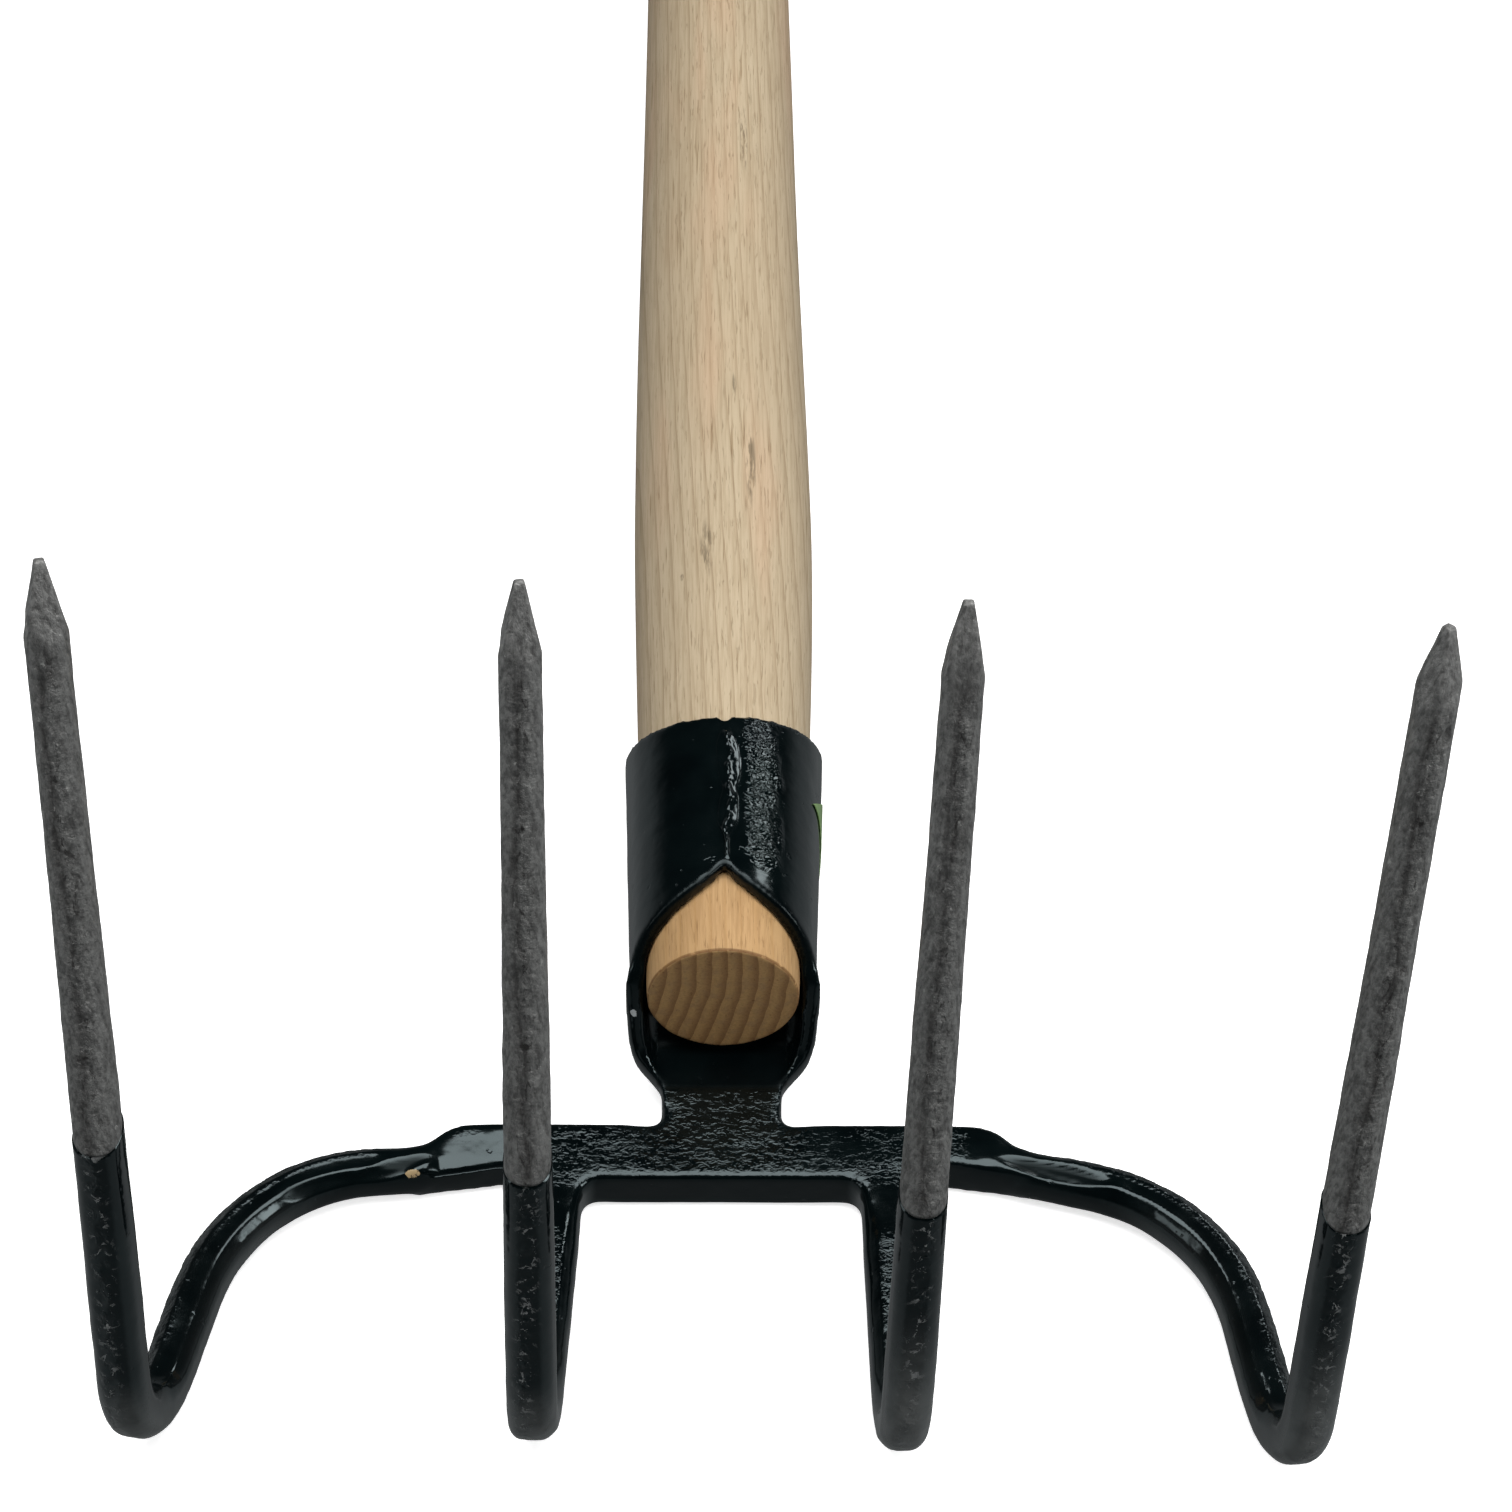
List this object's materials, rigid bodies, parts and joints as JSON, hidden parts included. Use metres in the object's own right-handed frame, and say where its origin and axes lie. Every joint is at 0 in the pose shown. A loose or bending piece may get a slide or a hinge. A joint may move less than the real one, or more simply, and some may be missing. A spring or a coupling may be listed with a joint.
{
  "type": "bent-tine hand cultivator",
  "caption": "Long-handled hand cultivator: a steel head with bent tines and a rolled round eye, on a tapered ash handle.",
  "frame": {"origin": "centre of the handle's sawn lower end face, on the handle's axis", "axes": "+Y along the handle towards the grip end, +Z the way the tines point, +X across the head to the right as seen from the tines' side with the handle away"},
  "size_m": [0.2176, 1.4457, 0.1831],
  "materials": {
    "ash_wood": "planed and sanded, unvarnished",
    "black_paint": "glossy dip paint over forging scale",
    "bare_steel": "dull dark forged steel",
    "zinc_steel": "zinc plated",
    "label_print": "plain printed film"
  },
  "bodies": {
    "root": {"handle_shaft": "ash_wood", "handle_screw": "zinc_steel", "socket": "black_paint", "socket_seam_weld": "black_paint", "neck": "black_paint", "crossbar": "black_paint", "tine_shank_outer_left": "black_paint", "tine_shank_inner_left": "black_paint", "tine_shank_inner_right": "black_paint", "tine_shank_outer_right": "black_paint", "tine_prong_outer_left": "bare_steel", "tine_prong_inner_left": "bare_steel", "tine_prong_inner_right": "bare_steel", "tine_prong_outer_right": "bare_steel", "label": "label_print"}
  },
  "joints": []
}
